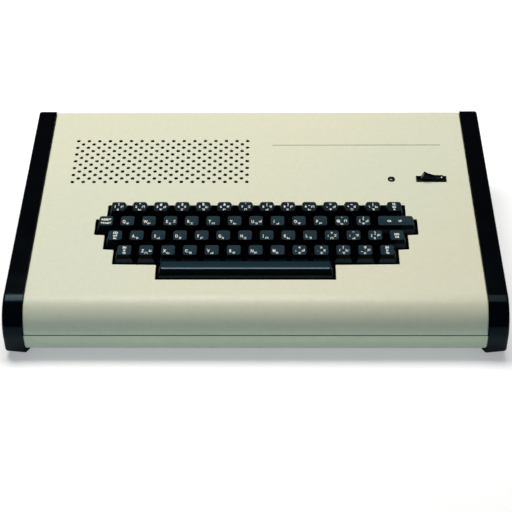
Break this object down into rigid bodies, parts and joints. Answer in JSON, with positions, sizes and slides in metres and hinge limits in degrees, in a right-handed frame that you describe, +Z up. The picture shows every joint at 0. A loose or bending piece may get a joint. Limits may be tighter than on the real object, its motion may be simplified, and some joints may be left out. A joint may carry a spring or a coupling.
{
  "type": "vintage home computer",
  "caption": "Wedge-shaped home computer: keyboard set in the sloping cream cover, black end cheeks, perforated speaker grille, power lamp and power rocker, sockets in the back.",
  "frame": {"origin": "on the table under the middle of the case, halfway between its front and its back", "axes": "+X to the user's right along the row of keys, +Y to the back of the case, +Z up"},
  "size_m": [0.428, 0.278, 0.0839],
  "materials": {
    "cream_paint": "cream paint with a fine speckle, satin, over folded sheet steel",
    "black_plastic": "black moulded plastic with a fine grain, satin",
    "key_plastic": "blue-black moulded plastic, satin on the dished key tops",
    "lamp_lens": "dark amber lens in a black ring, unlit",
    "circuit_board": "green solder resist with black chips",
    "speaker_paper": "dark paper cone, matt",
    "zinc_plate": "zinc-plated steel laminations, dull"
  },
  "bodies": {
    "root": {"top_cover": "cream_paint", "bottom_tray": "cream_paint", "left_end_cheek": "black_plastic", "right_end_cheek": "black_plastic", "keyboard_frame": "key_plastic", "rear_panel": "cream_paint", "rocker_housing": "black_plastic", "power_lamp": "lamp_lens", "main_circuit_board": "circuit_board", "power_transformer": "zinc_plate", "loudspeaker": "speaker_paper", "mains_inlet": "black_plastic", "video_socket": "black_plastic", "cassette_socket": "black_plastic", "expansion_connector": "black_plastic"},
    "power_rocker": {"power_rocker": "black_plastic"},
    "key_space": {"key_space": "key_plastic"},
    "key_return": {"key_return": "key_plastic"},
    "key_reset": {"key_reset": "key_plastic"},
    "key_1": {"key_1": "key_plastic"},
    "key_clear": {"key_clear": "key_plastic"},
    "key_control": {"key_control": "key_plastic"},
    "key_mode": {"key_mode": "key_plastic"},
    "key_shift_left": {"key_shift_left": "key_plastic"},
    "key_shift_right": {"key_shift_right": "key_plastic"},
    "key_q": {"key_q": "key_plastic"},
    "key_2": {"key_2": "key_plastic"},
    "key_3": {"key_3": "key_plastic"},
    "key_4": {"key_4": "key_plastic"},
    "key_5": {"key_5": "key_plastic"},
    "key_6": {"key_6": "key_plastic"},
    "key_7": {"key_7": "key_plastic"},
    "key_8": {"key_8": "key_plastic"},
    "key_9": {"key_9": "key_plastic"},
    "key_0": {"key_0": "key_plastic"},
    "key_w": {"key_w": "key_plastic"},
    "key_e": {"key_e": "key_plastic"},
    "key_r": {"key_r": "key_plastic"},
    "key_t": {"key_t": "key_plastic"},
    "key_y": {"key_y": "key_plastic"},
    "key_u": {"key_u": "key_plastic"},
    "key_i": {"key_i": "key_plastic"},
    "key_o": {"key_o": "key_plastic"},
    "key_p": {"key_p": "key_plastic"},
    "key_a": {"key_a": "key_plastic"},
    "key_s": {"key_s": "key_plastic"},
    "key_d": {"key_d": "key_plastic"},
    "key_f": {"key_f": "key_plastic"},
    "key_g": {"key_g": "key_plastic"},
    "key_h": {"key_h": "key_plastic"},
    "key_j": {"key_j": "key_plastic"},
    "key_k": {"key_k": "key_plastic"},
    "key_l": {"key_l": "key_plastic"},
    "key_z": {"key_z": "key_plastic"},
    "key_x": {"key_x": "key_plastic"},
    "key_c": {"key_c": "key_plastic"},
    "key_v": {"key_v": "key_plastic"},
    "key_b": {"key_b": "key_plastic"},
    "key_n": {"key_n": "key_plastic"},
    "key_m": {"key_m": "key_plastic"}
  },
  "joints": [
    {"name": "rocker_tilt", "type": "hinge", "parent": "root", "child": "power_rocker", "pos_m": [0.1611, 0.0349, 0.06747], "axis": [0, -0.9914, -0.1305], "range_deg": [0, 28]},
    {"name": "key_space_travel", "type": "slide", "parent": "root", "child": "key_space", "axis": [0, 0.1305, -0.9914], "range_m": [0, 0.004], "stiffness_N_per_m": 150, "springref_m": -0.005},
    {"name": "key_return_travel", "type": "slide", "parent": "root", "child": "key_return", "axis": [0, 0.1305, -0.9914], "range_m": [0, 0.004], "stiffness_N_per_m": 100, "springref_m": -0.003},
    {"name": "key_reset_travel", "type": "slide", "parent": "root", "child": "key_reset", "axis": [0, 0.1305, -0.9914], "range_m": [0, 0.004], "stiffness_N_per_m": 100, "springref_m": -0.003},
    {"name": "key_1_travel", "type": "slide", "parent": "root", "child": "key_1", "axis": [0, 0.1305, -0.9914], "range_m": [0, 0.004], "stiffness_N_per_m": 100, "springref_m": -0.003},
    {"name": "key_clear_travel", "type": "slide", "parent": "root", "child": "key_clear", "axis": [0, 0.1305, -0.9914], "range_m": [0, 0.004], "stiffness_N_per_m": 100, "springref_m": -0.003},
    {"name": "key_control_travel", "type": "slide", "parent": "root", "child": "key_control", "axis": [0, 0.1305, -0.9914], "range_m": [0, 0.004], "stiffness_N_per_m": 100, "springref_m": -0.003},
    {"name": "key_mode_travel", "type": "slide", "parent": "root", "child": "key_mode", "axis": [0, 0.1305, -0.9914], "range_m": [0, 0.004], "stiffness_N_per_m": 100, "springref_m": -0.003},
    {"name": "key_shift_left_travel", "type": "slide", "parent": "root", "child": "key_shift_left", "axis": [0, 0.1305, -0.9914], "range_m": [0, 0.004], "stiffness_N_per_m": 100, "springref_m": -0.003},
    {"name": "key_shift_right_travel", "type": "slide", "parent": "root", "child": "key_shift_right", "axis": [0, 0.1305, -0.9914], "range_m": [0, 0.004], "stiffness_N_per_m": 100, "springref_m": -0.003},
    {"name": "key_q_travel", "type": "slide", "parent": "root", "child": "key_q", "axis": [0, 0.1305, -0.9914], "range_m": [0, 0.004], "stiffness_N_per_m": 100, "springref_m": -0.003},
    {"name": "key_2_travel", "type": "slide", "parent": "root", "child": "key_2", "axis": [0, 0.1305, -0.9914], "range_m": [0, 0.004], "stiffness_N_per_m": 100, "springref_m": -0.003},
    {"name": "key_3_travel", "type": "slide", "parent": "root", "child": "key_3", "axis": [0, 0.1305, -0.9914], "range_m": [0, 0.004], "stiffness_N_per_m": 100, "springref_m": -0.003},
    {"name": "key_4_travel", "type": "slide", "parent": "root", "child": "key_4", "axis": [0, 0.1305, -0.9914], "range_m": [0, 0.004], "stiffness_N_per_m": 100, "springref_m": -0.003},
    {"name": "key_5_travel", "type": "slide", "parent": "root", "child": "key_5", "axis": [0, 0.1305, -0.9914], "range_m": [0, 0.004], "stiffness_N_per_m": 100, "springref_m": -0.003},
    {"name": "key_6_travel", "type": "slide", "parent": "root", "child": "key_6", "axis": [0, 0.1305, -0.9914], "range_m": [0, 0.004], "stiffness_N_per_m": 100, "springref_m": -0.003},
    {"name": "key_7_travel", "type": "slide", "parent": "root", "child": "key_7", "axis": [0, 0.1305, -0.9914], "range_m": [0, 0.004], "stiffness_N_per_m": 100, "springref_m": -0.003},
    {"name": "key_8_travel", "type": "slide", "parent": "root", "child": "key_8", "axis": [0, 0.1305, -0.9914], "range_m": [0, 0.004], "stiffness_N_per_m": 100, "springref_m": -0.003},
    {"name": "key_9_travel", "type": "slide", "parent": "root", "child": "key_9", "axis": [0, 0.1305, -0.9914], "range_m": [0, 0.004], "stiffness_N_per_m": 100, "springref_m": -0.003},
    {"name": "key_0_travel", "type": "slide", "parent": "root", "child": "key_0", "axis": [0, 0.1305, -0.9914], "range_m": [0, 0.004], "stiffness_N_per_m": 100, "springref_m": -0.003},
    {"name": "key_w_travel", "type": "slide", "parent": "root", "child": "key_w", "axis": [0, 0.1305, -0.9914], "range_m": [0, 0.004], "stiffness_N_per_m": 100, "springref_m": -0.003},
    {"name": "key_e_travel", "type": "slide", "parent": "root", "child": "key_e", "axis": [0, 0.1305, -0.9914], "range_m": [0, 0.004], "stiffness_N_per_m": 100, "springref_m": -0.003},
    {"name": "key_r_travel", "type": "slide", "parent": "root", "child": "key_r", "axis": [0, 0.1305, -0.9914], "range_m": [0, 0.004], "stiffness_N_per_m": 100, "springref_m": -0.003},
    {"name": "key_t_travel", "type": "slide", "parent": "root", "child": "key_t", "axis": [0, 0.1305, -0.9914], "range_m": [0, 0.004], "stiffness_N_per_m": 100, "springref_m": -0.003},
    {"name": "key_y_travel", "type": "slide", "parent": "root", "child": "key_y", "axis": [0, 0.1305, -0.9914], "range_m": [0, 0.004], "stiffness_N_per_m": 100, "springref_m": -0.003},
    {"name": "key_u_travel", "type": "slide", "parent": "root", "child": "key_u", "axis": [0, 0.1305, -0.9914], "range_m": [0, 0.004], "stiffness_N_per_m": 100, "springref_m": -0.003},
    {"name": "key_i_travel", "type": "slide", "parent": "root", "child": "key_i", "axis": [0, 0.1305, -0.9914], "range_m": [0, 0.004], "stiffness_N_per_m": 100, "springref_m": -0.003},
    {"name": "key_o_travel", "type": "slide", "parent": "root", "child": "key_o", "axis": [0, 0.1305, -0.9914], "range_m": [0, 0.004], "stiffness_N_per_m": 100, "springref_m": -0.003},
    {"name": "key_p_travel", "type": "slide", "parent": "root", "child": "key_p", "axis": [0, 0.1305, -0.9914], "range_m": [0, 0.004], "stiffness_N_per_m": 100, "springref_m": -0.003},
    {"name": "key_a_travel", "type": "slide", "parent": "root", "child": "key_a", "axis": [0, 0.1305, -0.9914], "range_m": [0, 0.004], "stiffness_N_per_m": 100, "springref_m": -0.003},
    {"name": "key_s_travel", "type": "slide", "parent": "root", "child": "key_s", "axis": [0, 0.1305, -0.9914], "range_m": [0, 0.004], "stiffness_N_per_m": 100, "springref_m": -0.003},
    {"name": "key_d_travel", "type": "slide", "parent": "root", "child": "key_d", "axis": [0, 0.1305, -0.9914], "range_m": [0, 0.004], "stiffness_N_per_m": 100, "springref_m": -0.003},
    {"name": "key_f_travel", "type": "slide", "parent": "root", "child": "key_f", "axis": [0, 0.1305, -0.9914], "range_m": [0, 0.004], "stiffness_N_per_m": 100, "springref_m": -0.003},
    {"name": "key_g_travel", "type": "slide", "parent": "root", "child": "key_g", "axis": [0, 0.1305, -0.9914], "range_m": [0, 0.004], "stiffness_N_per_m": 100, "springref_m": -0.003},
    {"name": "key_h_travel", "type": "slide", "parent": "root", "child": "key_h", "axis": [0, 0.1305, -0.9914], "range_m": [0, 0.004], "stiffness_N_per_m": 100, "springref_m": -0.003},
    {"name": "key_j_travel", "type": "slide", "parent": "root", "child": "key_j", "axis": [0, 0.1305, -0.9914], "range_m": [0, 0.004], "stiffness_N_per_m": 100, "springref_m": -0.003},
    {"name": "key_k_travel", "type": "slide", "parent": "root", "child": "key_k", "axis": [0, 0.1305, -0.9914], "range_m": [0, 0.004], "stiffness_N_per_m": 100, "springref_m": -0.003},
    {"name": "key_l_travel", "type": "slide", "parent": "root", "child": "key_l", "axis": [0, 0.1305, -0.9914], "range_m": [0, 0.004], "stiffness_N_per_m": 100, "springref_m": -0.003},
    {"name": "key_z_travel", "type": "slide", "parent": "root", "child": "key_z", "axis": [0, 0.1305, -0.9914], "range_m": [0, 0.004], "stiffness_N_per_m": 100, "springref_m": -0.003},
    {"name": "key_x_travel", "type": "slide", "parent": "root", "child": "key_x", "axis": [0, 0.1305, -0.9914], "range_m": [0, 0.004], "stiffness_N_per_m": 100, "springref_m": -0.003},
    {"name": "key_c_travel", "type": "slide", "parent": "root", "child": "key_c", "axis": [0, 0.1305, -0.9914], "range_m": [0, 0.004], "stiffness_N_per_m": 100, "springref_m": -0.003},
    {"name": "key_v_travel", "type": "slide", "parent": "root", "child": "key_v", "axis": [0, 0.1305, -0.9914], "range_m": [0, 0.004], "stiffness_N_per_m": 100, "springref_m": -0.003},
    {"name": "key_b_travel", "type": "slide", "parent": "root", "child": "key_b", "axis": [0, 0.1305, -0.9914], "range_m": [0, 0.004], "stiffness_N_per_m": 100, "springref_m": -0.003},
    {"name": "key_n_travel", "type": "slide", "parent": "root", "child": "key_n", "axis": [0, 0.1305, -0.9914], "range_m": [0, 0.004], "stiffness_N_per_m": 100, "springref_m": -0.003},
    {"name": "key_m_travel", "type": "slide", "parent": "root", "child": "key_m", "axis": [0, 0.1305, -0.9914], "range_m": [0, 0.004], "stiffness_N_per_m": 100, "springref_m": -0.003}
  ]
}
